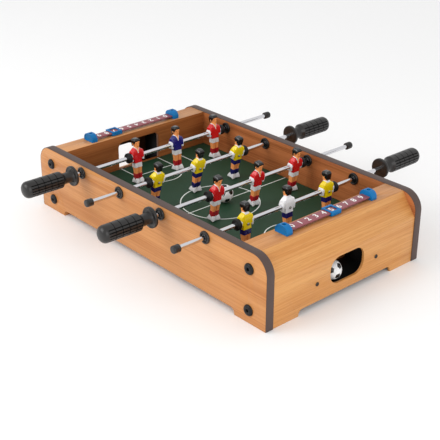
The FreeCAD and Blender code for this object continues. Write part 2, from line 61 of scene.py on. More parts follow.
for leftover in list(bpy.data.objects):
    bpy.data.objects.remove(leftover)
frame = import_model()
nodes = frame["nodes"]
print("frame loaded,", len(nodes), "nodes")


# tools for modelling

mergeGap = 0.00001  # corners nearer than this become one
quarter = math.pi / 2
turnOver = Matrix.Rotation(math.pi, 4, "Z")
turnUp = Matrix.Rotation(quarter, 4, "X")  # what pointed along +Y points up
turnLeft = Matrix.Rotation(quarter, 4, "Z")  # what pointed along +Y points along -X
turnRight = Matrix.Rotation(-quarter, 4, "Z")  # what pointed along +Y points along +X


def only(piece):
    bpy.ops.object.select_all(action="DESELECT")
    piece.select_set(True)
    bpy.context.view_layer.objects.active = piece
    return piece


def named(name):
    piece = bpy.context.object
    piece.name = name
    piece.data.name = name
    return piece


def settled(piece):
    # place, turn and size go into the mesh
    only(piece)
    bpy.ops.object.transform_apply(location=True, rotation=True, scale=True)
    return piece


def block(name, low, high):
    low, high = Vector(low), Vector(high)
    bpy.ops.object.select_all(action="DESELECT")
    bpy.ops.mesh.primitive_cube_add(size=1, location=(low + high) / 2)
    piece = named(name)
    piece.scale = high - low
    return settled(piece)


def drum(name, radius, length, middle, sides, turn=(0, 0, 0)):
    bpy.ops.object.select_all(action="DESELECT")
    bpy.ops.mesh.primitive_cylinder_add(radius=radius, depth=length, location=middle,
                                        rotation=turn, vertices=sides)
    return settled(named(name))


def edit(piece):
    only(piece)
    bpy.ops.object.mode_set(mode="EDIT")
    bpy.ops.mesh.select_mode(type="FACE")
    bpy.ops.mesh.select_all(action="DESELECT")


def finishEdit():
    bpy.ops.object.mode_set(mode="OBJECT")


def middleOf(part):
    if isinstance(part, bmesh.types.BMVert):
        return part.co
    if isinstance(part, bmesh.types.BMEdge):
        return (part.verts[0].co + part.verts[1].co) / 2
    return part.calc_center_median()


def pick(piece, kind, test):
    # selects the vertices, edges or faces that pass the test, in edit mode
    bpy.ops.mesh.select_mode(type=kind)
    bpy.ops.mesh.select_all(action="DESELECT")
    mesh = bmesh.from_edit_mesh(piece.data)
    parts = {"VERT": mesh.verts, "EDGE": mesh.edges, "FACE": mesh.faces}[kind]
    for part in parts:
        if test(middleOf(part), part):
            part.select_set(True)
    mesh.select_flush_mode()
    bmesh.update_edit_mesh(piece.data)


def edgeAlong(part, axis):
    run = part.verts[1].co - part.verts[0].co
    return abs(run[axis]) > 0.99 * run.length


def shaped(piece, kind, **settings):
    only(piece)
    modifier = piece.modifiers.new(kind.lower(), kind)
    for key, value in settings.items():
        setattr(modifier, key, value)
    bpy.ops.object.modifier_apply(modifier=modifier.name)
    return piece


def rounded(piece, width, angle=35):
    return shaped(piece, "BEVEL", width=width, segments=2, limit_method="ANGLE",
                  angle_limit=math.radians(angle), harden_normals=False)


def smooth(piece, angle):
    only(piece)
    bpy.ops.object.shade_smooth_by_angle(angle=math.radians(angle))
    return piece


def cut(piece, tool):
    shaped(piece, "BOOLEAN", operation="DIFFERENCE", object=tool, solver="EXACT")
    bpy.data.objects.remove(tool)
    return piece


def turned(name, profile, steps):
    # profile: (radius, distance along +Y) pairs, spun about the Y axis
    bpy.ops.object.select_all(action="DESELECT")
    bpy.ops.mesh.primitive_plane_add(size=0.001)
    piece = named(name)
    edit(piece)
    bpy.ops.mesh.select_all(action="SELECT")
    bpy.ops.mesh.merge(type="CENTER")
    bpy.ops.mesh.select_mode(type="VERT")
    bpy.ops.mesh.select_all(action="SELECT")
    here = Vector((*profile[0], 0))
    bpy.ops.transform.translate(value=here)
    for radius, along in profile[1:]:
        spot = Vector((radius, along, 0))
        bpy.ops.mesh.extrude_vertices_move(TRANSFORM_OT_translate={"value": spot - here})
        here = spot
    bpy.ops.mesh.select_all(action="SELECT")
    bpy.ops.mesh.spin(steps=steps, angle=math.tau, center=(0, 0, 0), axis=(0, 1, 0))
    bpy.ops.mesh.select_all(action="SELECT")
    bpy.ops.mesh.remove_doubles(threshold=mergeGap)
    bpy.ops.mesh.normals_make_consistent(inside=False)
    finishEdit()
    return piece


def joined(name, pieces):
    bpy.ops.object.select_all(action="DESELECT")
    for piece in pieces:
        piece.select_set(True)
    bpy.context.view_layer.objects.active = pieces[0]
    bpy.ops.object.join()
    return named(name)


def copied(piece, name, place=(0, 0, 0), turn=None):
    made = bpy.data.objects.new(name, piece.data.copy())
    bpy.context.scene.collection.objects.link(made)
    made.data.name = name
    if turn is not None:
        made.data.transform(turn)
    made.data.transform(Matrix.Translation(Vector(place)))
    return made


def painted(piece, *finishes):
    piece.data.materials.clear()
    for finish in finishes:
        piece.data.materials.append(finish)
    return piece


def fixed(piece, body, slot, *replacedNodes):
    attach(piece, body)
    if replacedNodes:
        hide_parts(*replacedNodes)
    return piece


def softened(node, width, finish, slot, body="cabinet"):
    # a copy of the CAD node's shape with its edges eased
    piece = copied(nodes[node], node + "_eased")
    edit(piece)
    bpy.ops.mesh.select_all(action="SELECT")
    bpy.ops.mesh.remove_doubles(threshold=mergeGap)
    bpy.ops.mesh.customdata_custom_splitnormals_clear()
    bpy.ops.mesh.dissolve_limited(angle_limit=math.radians(1))
    finishEdit()
    rounded(piece, width)
    smooth(piece, 40)
    painted(piece, finish)
    return fixed(piece, body, slot, node)


# tools for finishes

def linear(code):
    # a colour as six hexadecimal digits
    parts = [int(code[i:i + 2], 16) / 255 for i in (0, 2, 4)]
    return [p / 12.92 if p < 0.04045 else ((p + 0.055) / 1.055) ** 2.4 for p in parts] + [1.0]


class Amount:
    # one shader value; sums and products of them add Math nodes

    def __init__(self, finish, socket):
        self.finish = finish
        self.socket = socket

    def maths(self, operation, first, second=0.0):
        return self.finish.node("ShaderNodeMath", {"operation": operation}, {0: first, 1: second})

    def __add__(self, other):
        return self.maths("ADD", self, other)

    def __radd__(self, other):
        return self.maths("ADD", other, self)

    def __sub__(self, other):
        return self.maths("SUBTRACT", self, other)

    def __rsub__(self, other):
        return self.maths("SUBTRACT", other, self)

    def __mul__(self, other):
        return self.maths("MULTIPLY", self, other)

    def __rmul__(self, other):
        return self.maths("MULTIPLY", other, self)

    def __lt__(self, other):
        return self.maths("LESS_THAN", self, other)

    def __gt__(self, other):
        return self.maths("GREATER_THAN", self, other)

    def __abs__(self):
        return self.maths("ABSOLUTE", self)

    def __pow__(self, other):
        return self.maths("POWER", self, other)

    def most(self, other):
        return self.maths("MAXIMUM", self, other)


class Finish:
    # a material whose nodes are added one by one

    def __init__(self, name, **constants):
        self.material = bpy.data.materials.new(name)
        self.material.use_nodes = True
        self.tree = self.material.node_tree
        self.shader = self.tree.nodes["Principled BSDF"]
        for key, value in constants.items():
            self.shader.inputs[key.replace("_", " ")].default_value = value
        self.place = self.node("ShaderNodeTexCoord", output="Object")

    def node(self, kind, settings=None, sockets=None, output=0):
        made = self.tree.nodes.new(kind)
        for key, value in (settings or {}).items():
            setattr(made, key, value)
        for key, value in (sockets or {}).items():
            self.feed(made.inputs[key], value)
        return Amount(self, made.outputs[output])

    def feed(self, socket, value):
        if isinstance(value, Amount):
            self.tree.links.new(value.socket, socket)
        else:
            socket.default_value = value

    def give(self, key, value):
        self.feed(self.shader.inputs[key], value)

    def axes(self):
        parts = self.node("ShaderNodeSeparateXYZ", {}, {"Vector": self.place}).socket.node.outputs
        return [Amount(self, parts[i]) for i in range(3)]

    def noise(self, stretch, detail, roughness=0.5, distortion=0.0):
        spots = self.node("ShaderNodeMapping", {}, {"Vector": self.place, "Scale": stretch})
        return self.node("ShaderNodeTexNoise", {}, {"Vector": spots, "Scale": 1.0, "Detail": detail,
                                                    "Roughness": roughness,
                                                    "Distortion": distortion})

    def band(self, amount, low, high):
        return self.node("ShaderNodeMapRange", {"interpolation_type": "SMOOTHSTEP"},
                         {"Value": amount, "From Min": low, "From Max": high})

    def blend(self, factor, first, second):
        return self.node("ShaderNodeMix", {"data_type": "RGBA"},
                         {0: factor, 6: first, 7: second}, output=2)

    def bump(self, height, distance, strength):
        self.give("Normal", self.node("ShaderNodeBump", {}, {"Height": height, "Strength": strength,
                                                            "Distance": distance}))


def dimmed(colour, share):
    return [c * share for c in linear(colour)[:3]] + [1.0]


woodFoil = {"broad": (2.2, 38.0), "streak": (7.0, 620.0), "pores": (55.0, 1900.0), "broadShare": 0.55,
            "grainFrom": 0.33, "grainTo": 0.64, "poresFrom": 0.58, "poresTo": 0.72, "poreTint": 0.2,
            "roughness": 0.42, "depth": 0.00006}  # patterns as waves per metre, along and across


def wood(name, light, dark, grainAxis, size, inner=None, innerSide=None, deck=None, deckSide=None):
    # printed foil; inner and deck are darker (light, dark) pairs laid where innerSide and deckSide
    # say, painted there as shade
    finish = Finish(name, Specular_IOR_Level=0.35)

    def stretch(kind):
        along, across = size[kind]
        return [along if axis == grainAxis else across for axis in range(3)]

    broad = finish.noise(stretch("broad"), detail=3.0, distortion=0.5)
    streak = finish.noise(stretch("streak"), detail=4.0, roughness=0.65, distortion=0.15)
    pores = finish.noise(stretch("pores"), detail=2.0)
    poreMask = finish.band(pores, size["poresFrom"], size["poresTo"])
    pattern = broad * size["broadShare"] + streak * (1 - size["broadShare"])
    grain = finish.band(pattern, size["grainFrom"], size["grainTo"])
    colour = finish.blend(grain, linear(dark), linear(light))
    # painted shade: the deck and inner faces take their darker pairs
    for pair, side in ((deck, deckSide), (inner, innerSide)):
        if pair:
            other = finish.blend(grain, linear(pair[1]), linear(pair[0]))
            colour = finish.blend(side(*finish.axes()), colour, other)
    colour = finish.blend(poreMask * size["poreTint"], colour, linear(inner[1] if inner else dark))
    finish.give("Base Color", colour)
    finish.give("Roughness", size["roughness"] + grain * -0.06 + poreMask * 0.12)
    finish.bump(streak * 0.5 - poreMask * 0.6, size["depth"], 0.4)
    return finish.material


moulding = {"mottle": (60.0, 60.0, 60.0), "creases": (150.0, 150.0, 70.0), "depth": 0.00002,
            "wander": 0.18}


def plastic(name, colour, roughness, grain=900.0, shift=0.12, folds=0.0, **constants):
    # moulded plastic or paint: faint mottling, a fine satin texture and a roughness that wanders
    finish = Finish(name, **{"Specular_IOR_Level": 0.35, **constants})
    mottle = finish.noise(moulding["mottle"], detail=2.0)
    fine = finish.noise((grain, grain, grain), detail=2.0)
    finish.give("Base Color", finish.blend(mottle, dimmed(colour, 1 - shift), linear(colour)))
    finish.give("Roughness", roughness + (fine - 0.5) * moulding["wander"])
    if folds:
        creases = finish.noise(moulding["creases"], detail=2.0, distortion=1.2)
        fine = fine + creases * (folds / moulding["depth"])
    finish.bump(fine, moulding["depth"], 0.4)
    return finish.material


def metal(name, colour, roughness, stretch):
    # drawn or plated metal: marks that dull its shine and shade a little
    finish = Finish(name, Metallic=1.0)
    marks = finish.noise(stretch, detail=3.0)
    finish.give("Base Color", finish.blend(marks, dimmed(colour, 0.85), linear(colour)))
    finish.give("Roughness", roughness + (marks - 0.5) * roughness * 0.8)
    finish.bump(marks, 0.00001, 0.3)
    return finish.material


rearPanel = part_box("rear_side_panel")
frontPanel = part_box("front_side_panel")
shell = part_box("right_end_shell")
midPlane = (rearPanel[1].y + frontPanel[0].y) / 2
panelMiddle = (rearPanel[0].y + rearPanel[1].y) / 2 - midPlane  # from the middle plane to mid board
fold = {"run": 0.024, "bottom": 0.069, "skin": 0.0037, "deckSkin": 0.0004}


def insidePanels(x, y, z):
    # the faces of the side panels towards the pitch; their darker pair is partly a darker foil,
    # partly painted shade
    return abs(y - midPlane) < panelMiddle


def insideShell(x, y, z):
    # the hidden back of an end shell: behind its front and its sloping fold, under its deck; its
    # near-black pair is painted shade inside the cabinet
    rise = shell[1].z - fold["bottom"]
    reach = math.hypot(fold["run"], rise)
    outerSlope = (shell[1].x * rise + fold["bottom"] * fold["run"]) / reach
    slope = abs(x) * (rise / reach) + z * (fold["run"] / reach)
    behindFront = abs(x) < shell[1].x - fold["skin"]
    return behindFront * (z < shell[1].z - fold["skin"]) * (slope < outerSlope - fold["skin"])


def onDeck(x, y, z):
    # the top face of an end shell, where its finish paints a darker tone as shade
    return z > shell[1].z - fold["deckSkin"]


# side panels: the inner pair is partly a darker foil, partly painted shade on the faces towards the
# pitch
outerWood = wood("outerWood", "CE9056", "B27038", 0, woodFoil, ("B87040", "864620"), insidePanels)
# the inner pair, near-black brown, is painted shade on the hidden back of the shell
endWood = wood("endWood", "DCA262", "C48242", 1, woodFoil, ("4A2E1C", "38200F"), insideShell,
               # the deck pair: a darker tone painted on the top as shade
               ("CE925C", "B2743C"), onDeck)
# goal walls: a darker tone than the end shells, partly their own foil, partly painted shade
goalWood = wood("goalWood", "B06C3A", "84481E", 1, woodFoil)
blockWood = wood("blockWood", "D8B98A", "B9925F", 2, woodFoil)
edgeBand = plastic("edgeBand", "54433E", 0.5, 700.0)
blackPlastic = plastic("blackPlastic", "1F1D1C", 0.33, Specular_IOR_Level=0.5)
blackRubber = plastic("blackRubber", "161515", 0.58)
# black of the ball trays; also painted into the handle grooves as shade
trayBlackAndGrooveShade = plastic("trayBlackAndGrooveShade", "0B0B0B", 0.5, Specular_IOR_Level=0.2)
blackSteel = plastic("blackSteel", "1E1E20", 0.34, Metallic=0.4)
bluePlastic = plastic("bluePlastic", "0470B0", 0.4, Specular_IOR_Level=0.25)
stripRose = plastic("stripRose", "94545C", 0.45)
whitePrint = plastic("whitePrint", "F4F2EE", 0.45, shift=0.04)
ballWhite = plastic("ballWhite", "F2F2F2", 0.22, shift=0.03, Coat_Weight=0.3)
ballBlack = plastic("ballBlack", "101010", 0.25, Coat_Weight=0.2)
chrome = metal("chromeRod", "E4E4E8", 0.06, (900.0, 20.0, 900.0))
zinc = metal("zinc", "B9B9B5", 0.32, (500.0, 500.0, 500.0))
darkScrew = metal("darkScrew", "55504C", 0.38, (500.0, 500.0, 500.0))
shirtFolds = 0.0016
shirtRed = plastic("shirtRed", "D8141C", 0.28, shift=0.10, Coat_Weight=0.5, folds=shirtFolds)
shirtYellow = plastic("shirtYellow", "F6D808", 0.28, shift=0.10, Coat_Weight=0.5, folds=shirtFolds)
shirtBlue = plastic("shirtBlue", "1C1A74", 0.28, shift=0.10, Coat_Weight=0.5, folds=shirtFolds)
kitWhite = plastic("kitWhite", "FAFAFC", 0.30, shift=0.02, Coat_Weight=0.4, folds=shirtFolds)
kitNavy = plastic("kitNavy", "17155E", 0.30, Coat_Weight=0.4)
sockRed = plastic("sockRed", "B81826", 0.32, Coat_Weight=0.4)
skin = plastic("skin", "FFA45E", 0.34, shift=0.08, Coat_Weight=0.3)
hairBlack = plastic("hairBlack", "0E0C0C", 0.28, Coat_Weight=0.5)
trimWhite = plastic("trimWhite", "F0F0F2", 0.32, shift=0.04, Coat_Weight=0.3)
shortsWhite = plastic("shortsWhite", "E6E6E8", 0.34, shift=0.05, Coat_Weight=0.3)
bootWhite = plastic("bootWhite", "ECECEE", 0.34, shift=0.05, Coat_Weight=0.3)
eyeDark = plastic("eyeDark", "1A1512", 0.25)
lipTone = plastic("lipTone", "A8523C", 0.4)
print("finishes made")

# pitch: printed board with white field marks

pitchMarks = {"line": 0.0016, "circle": 0.0595, "smallFront": 0.158, "smallSide": 0.0367,
              "largeFront": 0.126, "largeSide": 0.0715, "arcMiddle": 0.146, "arc": 0.0355,
              "lineBlur": 0.25, "green": "254630", "darkGreen": "1D3A27", "white": "F4F8F4"}


def pitchFinish(marks):
    finish = Finish("pitch", Specular_IOR_Level=0.25)
    x, y, z = finish.axes()
    along, across = abs(x), abs(y - midPlane)
    half = marks["line"] / 2

    def stroke(distance):
        blur = half * marks["lineBlur"]
        return 1 - finish.band(abs(distance), half - blur, half + blur)

    def distance(first, second):
        return (first ** 2.0 + second ** 2.0) ** 0.5

    def boxMarks(front, side):
        ahead = stroke(along - front) * (across < side + half)
        beside = stroke(across - side) * (along > front - half)
        return ahead.most(beside)

    marksMask = stroke(x).most(stroke(distance(along, across) - marks["circle"]))
    marksMask = marksMask.most(boxMarks(marks["smallFront"], marks["smallSide"]))
    marksMask = marksMask.most(boxMarks(marks["largeFront"], marks["largeSide"]))
    arc = stroke(distance(along - marks["arcMiddle"], across) - marks["arc"])
    marksMask = marksMask.most(arc * (along < marks["largeFront"]))
    cloud = finish.noise((14.0, 14.0, 14.0), detail=3.0)
    fine = finish.noise((800.0, 800.0, 800.0), detail=2.0)
    green = finish.blend(cloud, linear(marks["darkGreen"]), linear(marks["green"]))
    finish.give("Base Color", finish.blend(marksMask * (0.86 + fine * 0.14), green,
                                           linear(marks["white"])))
    finish.give("Roughness", 0.46 + fine * 0.12 - marksMask * 0.06)
    finish.bump(fine * 0.5 + marksMask, 0.00004, 0.5)
    return finish.material


painted(nodes["playfield"], pitchFinish(pitchMarks))

# cabinet boards, edge bands and trays

edges = {"panel": 0.0003, "band": 0.0005, "shell": 0.0004, "wall": 0.0004, "tray": 0.0004}
for side in ("front", "rear"):
    softened(side + "_side_panel", edges["panel"], outerWood, "outer_wood")
    softened(side + "_edge_trim", edges["band"], edgeBand, "edge_band")
for end in ("left", "right"):
    softened(end + "_end_shell", edges["shell"], endWood, "end_wood")
    softened(end + "_goal_wall", edges["wall"], goalWood, "inner_wood")
    softened(end + "_ball_tray", edges["tray"], trayBlackAndGrooveShade, "black_tray")
for node, finish in (("corner_blocks", blockWood), ("insert_nuts", zinc)):
    painted(nodes[node], finish)
print("cabinet boards done")

# panel bolts: domed heads with a dished hexagon socket

bolt = {"radius": 0.008, "height": 0.0032, "dish": 0.0041, "dishDepth": 0.0005, "socket": 0.0026,
        "socketDepth": 0.0022, "shank": 0.003, "shankLength": 0.026, "toolSpare": 0.001}


def makeBolt(size):
    top, r = size["height"], size["radius"]
    floor = top - size["dishDepth"]
    profile = [(0, floor), (size["dish"] * 0.86, floor), (size["dish"], top), (r * 0.68, top * 0.97),
               (r * 0.84, top * 0.82), (r * 0.95, top * 0.56), (r, top * 0.22), (r * 0.985, 0),
               (size["shank"], 0), (size["shank"], -size["shankLength"]), (0, -size["shankLength"])]
    piece = turned("panel_bolt", profile, 64)
    toolLength = size["socketDepth"] + size["toolSpare"]
    toolMiddle = (0, floor - size["socketDepth"] + toolLength / 2, 0)
    cut(piece, drum("socket", size["socket"], toolLength, toolMiddle, 6, (quarter, 0, 0)))
    smooth(piece, 30)
    return painted(piece, blackSteel)


boltModel = makeBolt(bolt)
low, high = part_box("panel_bolts")
spots = [(x, z) for x in (low.x + bolt["radius"], high.x - bolt["radius"])
         for z in (low.z + bolt["radius"], high.z - bolt["radius"])]
faces = (("front", frontPanel[0].y, turnOver), ("rear", rearPanel[1].y, None))
for side, y, turn in faces:
    for number, (x, z) in enumerate(spots, 1):
        piece = copied(boltModel, f"panel_bolt_{side}_{number}", (x, y, z), turn)
        fixed(piece, "cabinet", "black_steel", "panel_bolts")
bpy.data.objects.remove(boltModel)
print("panel bolts done")

# small screws with a cross recess, pointing out along +Y

trayScrew = {"radius": 0.003, "height": 0.0015, "shank": 0.0014, "shankLength": 0.012,
             "tilts": {"front": 0.5, "rear": 1.1}}
scoreScrew = {"radius": 0.0028, "height": 0.0014, "shank": 0.0014, "shankLength": 0.012,
              "inset": 0.0029}
playerScrew = {"radius": 0.0021, "height": 0.0014, "shank": 0.001, "shankLength": 0.004,
               "back": 0.0058, "drop": 0.002}


def makeScrew(name, size, finish):
    top, r = size["height"], size["radius"]
    profile = [(0, top), (r * 0.45, top * 0.98), (r * 0.75, top * 0.84), (r * 0.93, top * 0.56),
               (r, top * 0.2), (r * 0.97, 0), (size["shank"], 0),
               (size["shank"], -size["shankLength"]), (0, -size["shankLength"])]
    piece = turned(name, profile, 40)
    wide, thin = r * 0.58, r * 0.13
    for across, up in ((wide, thin), (thin, wide)):
        cut(piece, block("recess", (-across, top * 0.35, -up), (across, top * 2, up)))
    smooth(piece, 30)
    return painted(piece, finish)


model = makeScrew("tray_screw", trayScrew, darkScrew)
low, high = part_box("tray_screws")
middleZ = (low.z + high.z) / 2
for end, x, turn in (("left", low.x + trayScrew["height"], turnLeft),
                     ("right", high.x - trayScrew["height"], turnRight)):
    for side, y in (("front", low.y + trayScrew["radius"]), ("rear", high.y - trayScrew["radius"])):
        tilt = turn @ Matrix.Rotation(trayScrew["tilts"][side], 4, "Y")
        piece = copied(model, f"tray_screw_{end}_{side}", (x, y, middleZ), tilt)
        fixed(piece, "cabinet", "dark_screw", "tray_screws")
bpy.data.objects.remove(model)

model = makeScrew("score_screw", scoreScrew, darkScrew)
low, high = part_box("score_screws")
inset, seat = scoreScrew["inset"], high.z - scoreScrew["height"]
for end, x in (("left", low.x + inset), ("right", high.x - inset)):
    for side, y in (("front", low.y + inset), ("rear", high.y - inset)):
        piece = copied(model, f"score_screw_{end}_{side}", (x, y, seat), turnUp)
        fixed(piece, "cabinet", "dark_screw", "score_screws")
bpy.data.objects.remove(model)
print("small screws done")

# rods: chrome bars, bushings, bumpers, end caps and handles

rods = {}
for number in (1, 2, 3, 4):
    low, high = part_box(f"rod_{number}_bar")
    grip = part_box(f"rod_{number}_handle")
    rods[number] = {"x": (low.x + high.x) / 2, "z": (low.z + high.z) / 2,
                    "handleSide": 1 if grip[0].y > midPlane else -1}
    painted(nodes[f"rod_{number}_bar"], chrome)

bushing = {"radius": 0.009, "height": 0.0028, "bore": 0.00326, "hub": 0.0047, "grooveOut": 0.0066,
           "grooveFloor": 0.0008, "sleeve": 0.005, "sleeveLength": 0.0062}


def makeBushing(size):
    r, top, bore = size["radius"], size["height"], size["bore"]
    profile = [(bore, top * 0.7), (bore + 0.0003, top * 0.8), (size["hub"] - 0.0004, top * 0.8),
               (size["hub"], top * 0.68), (size["hub"] + 0.0003, size["grooveFloor"]),
               (size["grooveOut"] - 0.0002, size["grooveFloor"]), (size["grooveOut"], top * 0.78),
               (size["grooveOut"] + 0.0005, top * 0.97), (r * 0.84, top), (r * 0.93, top * 0.9),
               (r * 0.985, top * 0.68), (r, top * 0.4), (r, 0), (size["sleeve"], 0),
               (size["sleeve"], -size["sleeveLength"]), (bore, -size["sleeveLength"]),
               (bore, top * 0.7)]
    return painted(smooth(turned("bushing", profile, 56), 30), blackPlastic)


model = makeBushing(bushing)
seats = (("outer", "front", frontPanel[0].y, -1), ("outer", "rear", rearPanel[1].y, 1),
         ("inner", "front", frontPanel[1].y, 1), ("inner", "rear", rearPanel[0].y, -1))
for kind, side, y, out in seats:
    for number, rod in rods.items():
        piece = copied(model, f"{kind}_bushing_{side}_{number}", (rod["x"], y, rod["z"]),
                       None if out > 0 else turnOver)
        fixed(piece, "cabinet", "black_plastic", kind + "_bushings")
bpy.data.objects.remove(model)
print("bushings done")

bumper = {"radius": 0.008, "thick": 0.006, "bore": 0.00326, "round": 0.0012}


def makeBumper(size):
    r, t, bore, e = size["radius"], size["thick"], size["bore"], size["round"]
    profile = [(bore, 0), (r * 0.62, 0), (r * 0.66, 0.0004), (r * 0.74, 0.0004), (r * 0.78, 0),
               (r - e, 0), (r - e * 0.3, e * 0.3), (r, e), (r, t - e), (r - e * 0.3, t - e * 0.3),
               (r - e, t), (r * 0.78, t), (r * 0.74, t - 0.0004), (r * 0.66, t - 0.0004),
               (r * 0.62, t), (bore, t), (bore, 0)]
    return painted(smooth(turned("bumper", profile, 56), 40), blackRubber)


cap = {"radius": 0.0055, "length": 0.011, "bore": 0.0033, "boreDepth": 0.0086}


def makeCap(size):
    r, reach = size["radius"], size["length"]
    profile = [(0, size["boreDepth"]), (size["bore"], size["boreDepth"]), (size["bore"], 0),
               (r * 0.9, 0), (r * 0.98, 0.0003), (r, 0.0008), (r, 0.0016), (r * 0.95, 0.0019),
               (r * 0.95, 0.0024), (r, 0.0028), (r, reach * 0.78), (r * 0.97, reach * 0.88),
               (r * 0.88, reach * 0.955), (r * 0.72, reach * 0.99), (r * 0.4, reach), (0, reach)]
    return painted(smooth(turned("end_cap", profile, 48), 40), blackPlastic)


handle = {"flange": 0.0152, "flangeThick": 0.0045, "neck": 0.0084, "gripStart": 0.0195,
          "grip": 0.0125, "length": 0.086, "bore": 0.0033, "boreDepth": 0.0431,
          "ringGrooves": (0.0338, 0.0448, 0.0558, 0.0668), "ringWidth": 0.0009,
          "ribsFrom": 0.0243, "ribsTo": 0.0775, "ringDepth": 0.0010, "ringWall": 0.0001,
          "grooveDepth": 0.0030, "grooveWall": 0.00022, "steps": 56, "grooveSteps": (0, 3, 6),
          "domeTurns": (18, 36, 52, 66, 78), "domeReach": 0.93}


def makeHandle(size):
    f, t, n, g = size["flange"], size["flangeThick"], size["neck"], size["grip"]
    start, reach = size["gripStart"], size["length"]
    profile = [(0, size["boreDepth"]), (size["bore"], size["boreDepth"]), (size["bore"], 0),
               (f - 0.001, 0), (f - 0.0003, 0.0003), (f, 0.001), (f, t - 0.001),
               (f - 0.0004, t - 0.0003), (f - 0.0012, t), (f - 0.0024, t - 0.0009),
               (n + 0.0026, t - 0.0013), (n + 0.0009, t - 0.0006), (n, t + 0.0010),
               (n - 0.0002, t + 0.006), (n, start - 0.0010), (n + 0.0006, start + 0.0001),
               (g - 0.0022, start + 0.0018), (g - 0.0006, start + 0.0036),
               (g, size["ribsFrom"] - 0.0004), (g, size["ribsFrom"])]
    for ring in size["ringGrooves"]:
        profile += [(g, ring - size["ringWidth"] / 2), (g, ring + size["ringWidth"] / 2)]
    dome = reach - size["ribsTo"]
    profile += [(g, size["ribsTo"])]
    for turn in size["domeTurns"]:
        bend = math.radians(turn)
        profile.append((g - dome * (1 - math.cos(bend)),
                        size["ribsTo"] + dome * math.sin(bend) * size["domeReach"]))
    profile += [(g - dome, reach - 0.0004), ((g - dome) * 0.5, reach), (0, reach)]
    stepAngle = 360 / size["steps"]
    # second finish: the darker black, painted into the grooves as shade
    piece = painted(turned("handle", profile, size["steps"]), blackPlastic, trayBlackAndGrooveShade)
    piece.data.transform(Matrix.Rotation(math.radians(stepAngle / 2), 4, "Y"))

    def onGrip(spot):
        skinDeep = math.hypot(spot.x, spot.z) > g - 0.0006
        return skinDeep and size["ribsFrom"] < spot.y < size["ribsTo"]

    def inRing(spot):
        return any(abs(spot.y - ring) < size["ringWidth"] / 2 for ring in size["ringGrooves"])

    def inGroove(spot):
        # grooves run along the grip on its two sides
        angle = abs(math.degrees(math.atan2(spot.z, spot.x)))
        return round(min(angle, 180 - angle) / stepAngle) in size["grooveSteps"]

    edit(piece)
    # painted shade: the ring grooves take the darker black
    piece.active_material_index = 1
    pick(piece, "FACE", lambda spot, face: onGrip(spot) and inRing(spot) and not inGroove(spot))
    bpy.ops.object.material_slot_assign()
    bpy.ops.mesh.inset(thickness=size["ringWall"], depth=-size["ringDepth"])
    # painted shade: the side grooves take the darker black too
    pick(piece, "FACE", lambda spot, face: onGrip(spot) and inGroove(spot))
    bpy.ops.object.material_slot_assign()
    bpy.ops.mesh.inset(thickness=size["grooveWall"], depth=-size["grooveDepth"])
    finishEdit()
    return smooth(piece, 32)


models = {"bumper": makeBumper(bumper), "cap": makeCap(cap), "handle": makeHandle(handle)}
for number, rod in rods.items():
    out = rod["handleSide"]
    low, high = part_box(f"rod_{number}_bumpers")
    for side, y in (("front", low.y), ("rear", high.y - bumper["thick"])):
        piece = copied(models["bumper"], f"rod_{number}_bumper_{side}", (rod["x"], y, rod["z"]))
        fixed(piece, f"rod_{number}_slide", "black_rubber", f"rod_{number}_bumpers")
    for kind, node, towards in (("cap", "end_cap", -out), ("handle", "handle", out)):
        low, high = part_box(f"rod_{number}_{node}")
        y = low.y if towards > 0 else high.y
        piece = copied(models[kind], f"rod_{number}_{node}_moulded", (rod["x"], y, rod["z"]),
                       None if towards > 0 else turnOver)
        fixed(piece, f"rod_{number}", "black_plastic", f"rod_{number}_{node}")
for model in models.values():
    bpy.data.objects.remove(model)
print("rods done")

# balls: twelve black and twenty white panels with pressed seams

football = {"inset": 0.00032, "seamDepth": 0.00028,
            "turns": {"pitch_ball": (-1.96, 0.32, 0.51), "tray_ball": (0.57, -1.17, -0.72)}}


def makeFootball(node, size):
    low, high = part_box(node)
    radius = (high.x - low.x) / 2
    bpy.ops.object.select_all(action="DESELECT")
    bpy.ops.mesh.primitive_ico_sphere_add(subdivisions=1, radius=radius)
    ball = painted(named(node + "_panelled"), ballWhite, ballBlack)
    edit(ball)
    bpy.ops.mesh.select_all(action="SELECT")
    bpy.ops.mesh.bevel(affect="VERTICES", offset_type="PERCENT", offset_pct=100 / 3)
    pick(ball, "FACE", lambda spot, face: len(face.verts) == 5)
    ball.active_material_index = 1
    bpy.ops.object.material_slot_assign()
    bpy.ops.mesh.select_all(action="SELECT")
    bpy.ops.mesh.inset(thickness=size["inset"], use_individual=True)
    finishEdit()
    panels = {corner for face in ball.data.polygons if face.select for corner in face.vertices}
    seams = ball.vertex_groups.new(name="seams")
    seams.add([v.index for v in ball.data.vertices if v.index not in panels], 1.0, "REPLACE")
    shaped(ball, "SUBSURF", subdivision_type="SIMPLE", levels=3, render_levels=3)
    shaped(ball, "CAST", factor=1.0, size=radius, use_radius_as_size=False)
    shaped(ball, "DISPLACE", strength=-size["seamDepth"], mid_level=0.0, vertex_group="seams")
    ball.vertex_groups.clear()
    smooth(ball, 60)
    ball.rotation_euler = size["turns"][node]
    ball.location = (low + high) / 2
    return fixed(settled(ball), node, "ball_plastic", node)


for node in ("pitch_ball", "tray_ball"):
    makeFootball(node, football)
print("balls done")

# score counters: strip with numerals, brackets and slider

counter = {"digitHeight": 0.0088, "digitShare": 0.69, "digitBold": 0.00020, "digitSpacing": 0.0148,
           "digitLift": 0.00012, "middleDigit": 4.5, "bracketRound": 0.0090, "bracketLength": 0.0102,
           "panelInset": 0.0011, "panelDepth": 0.0009, "panelWall": 0.0002, "wellRadius": 0.003,
           "edge": 0.0004, "stripEdge": 0.0003, "sliderEdge": 0.0005}


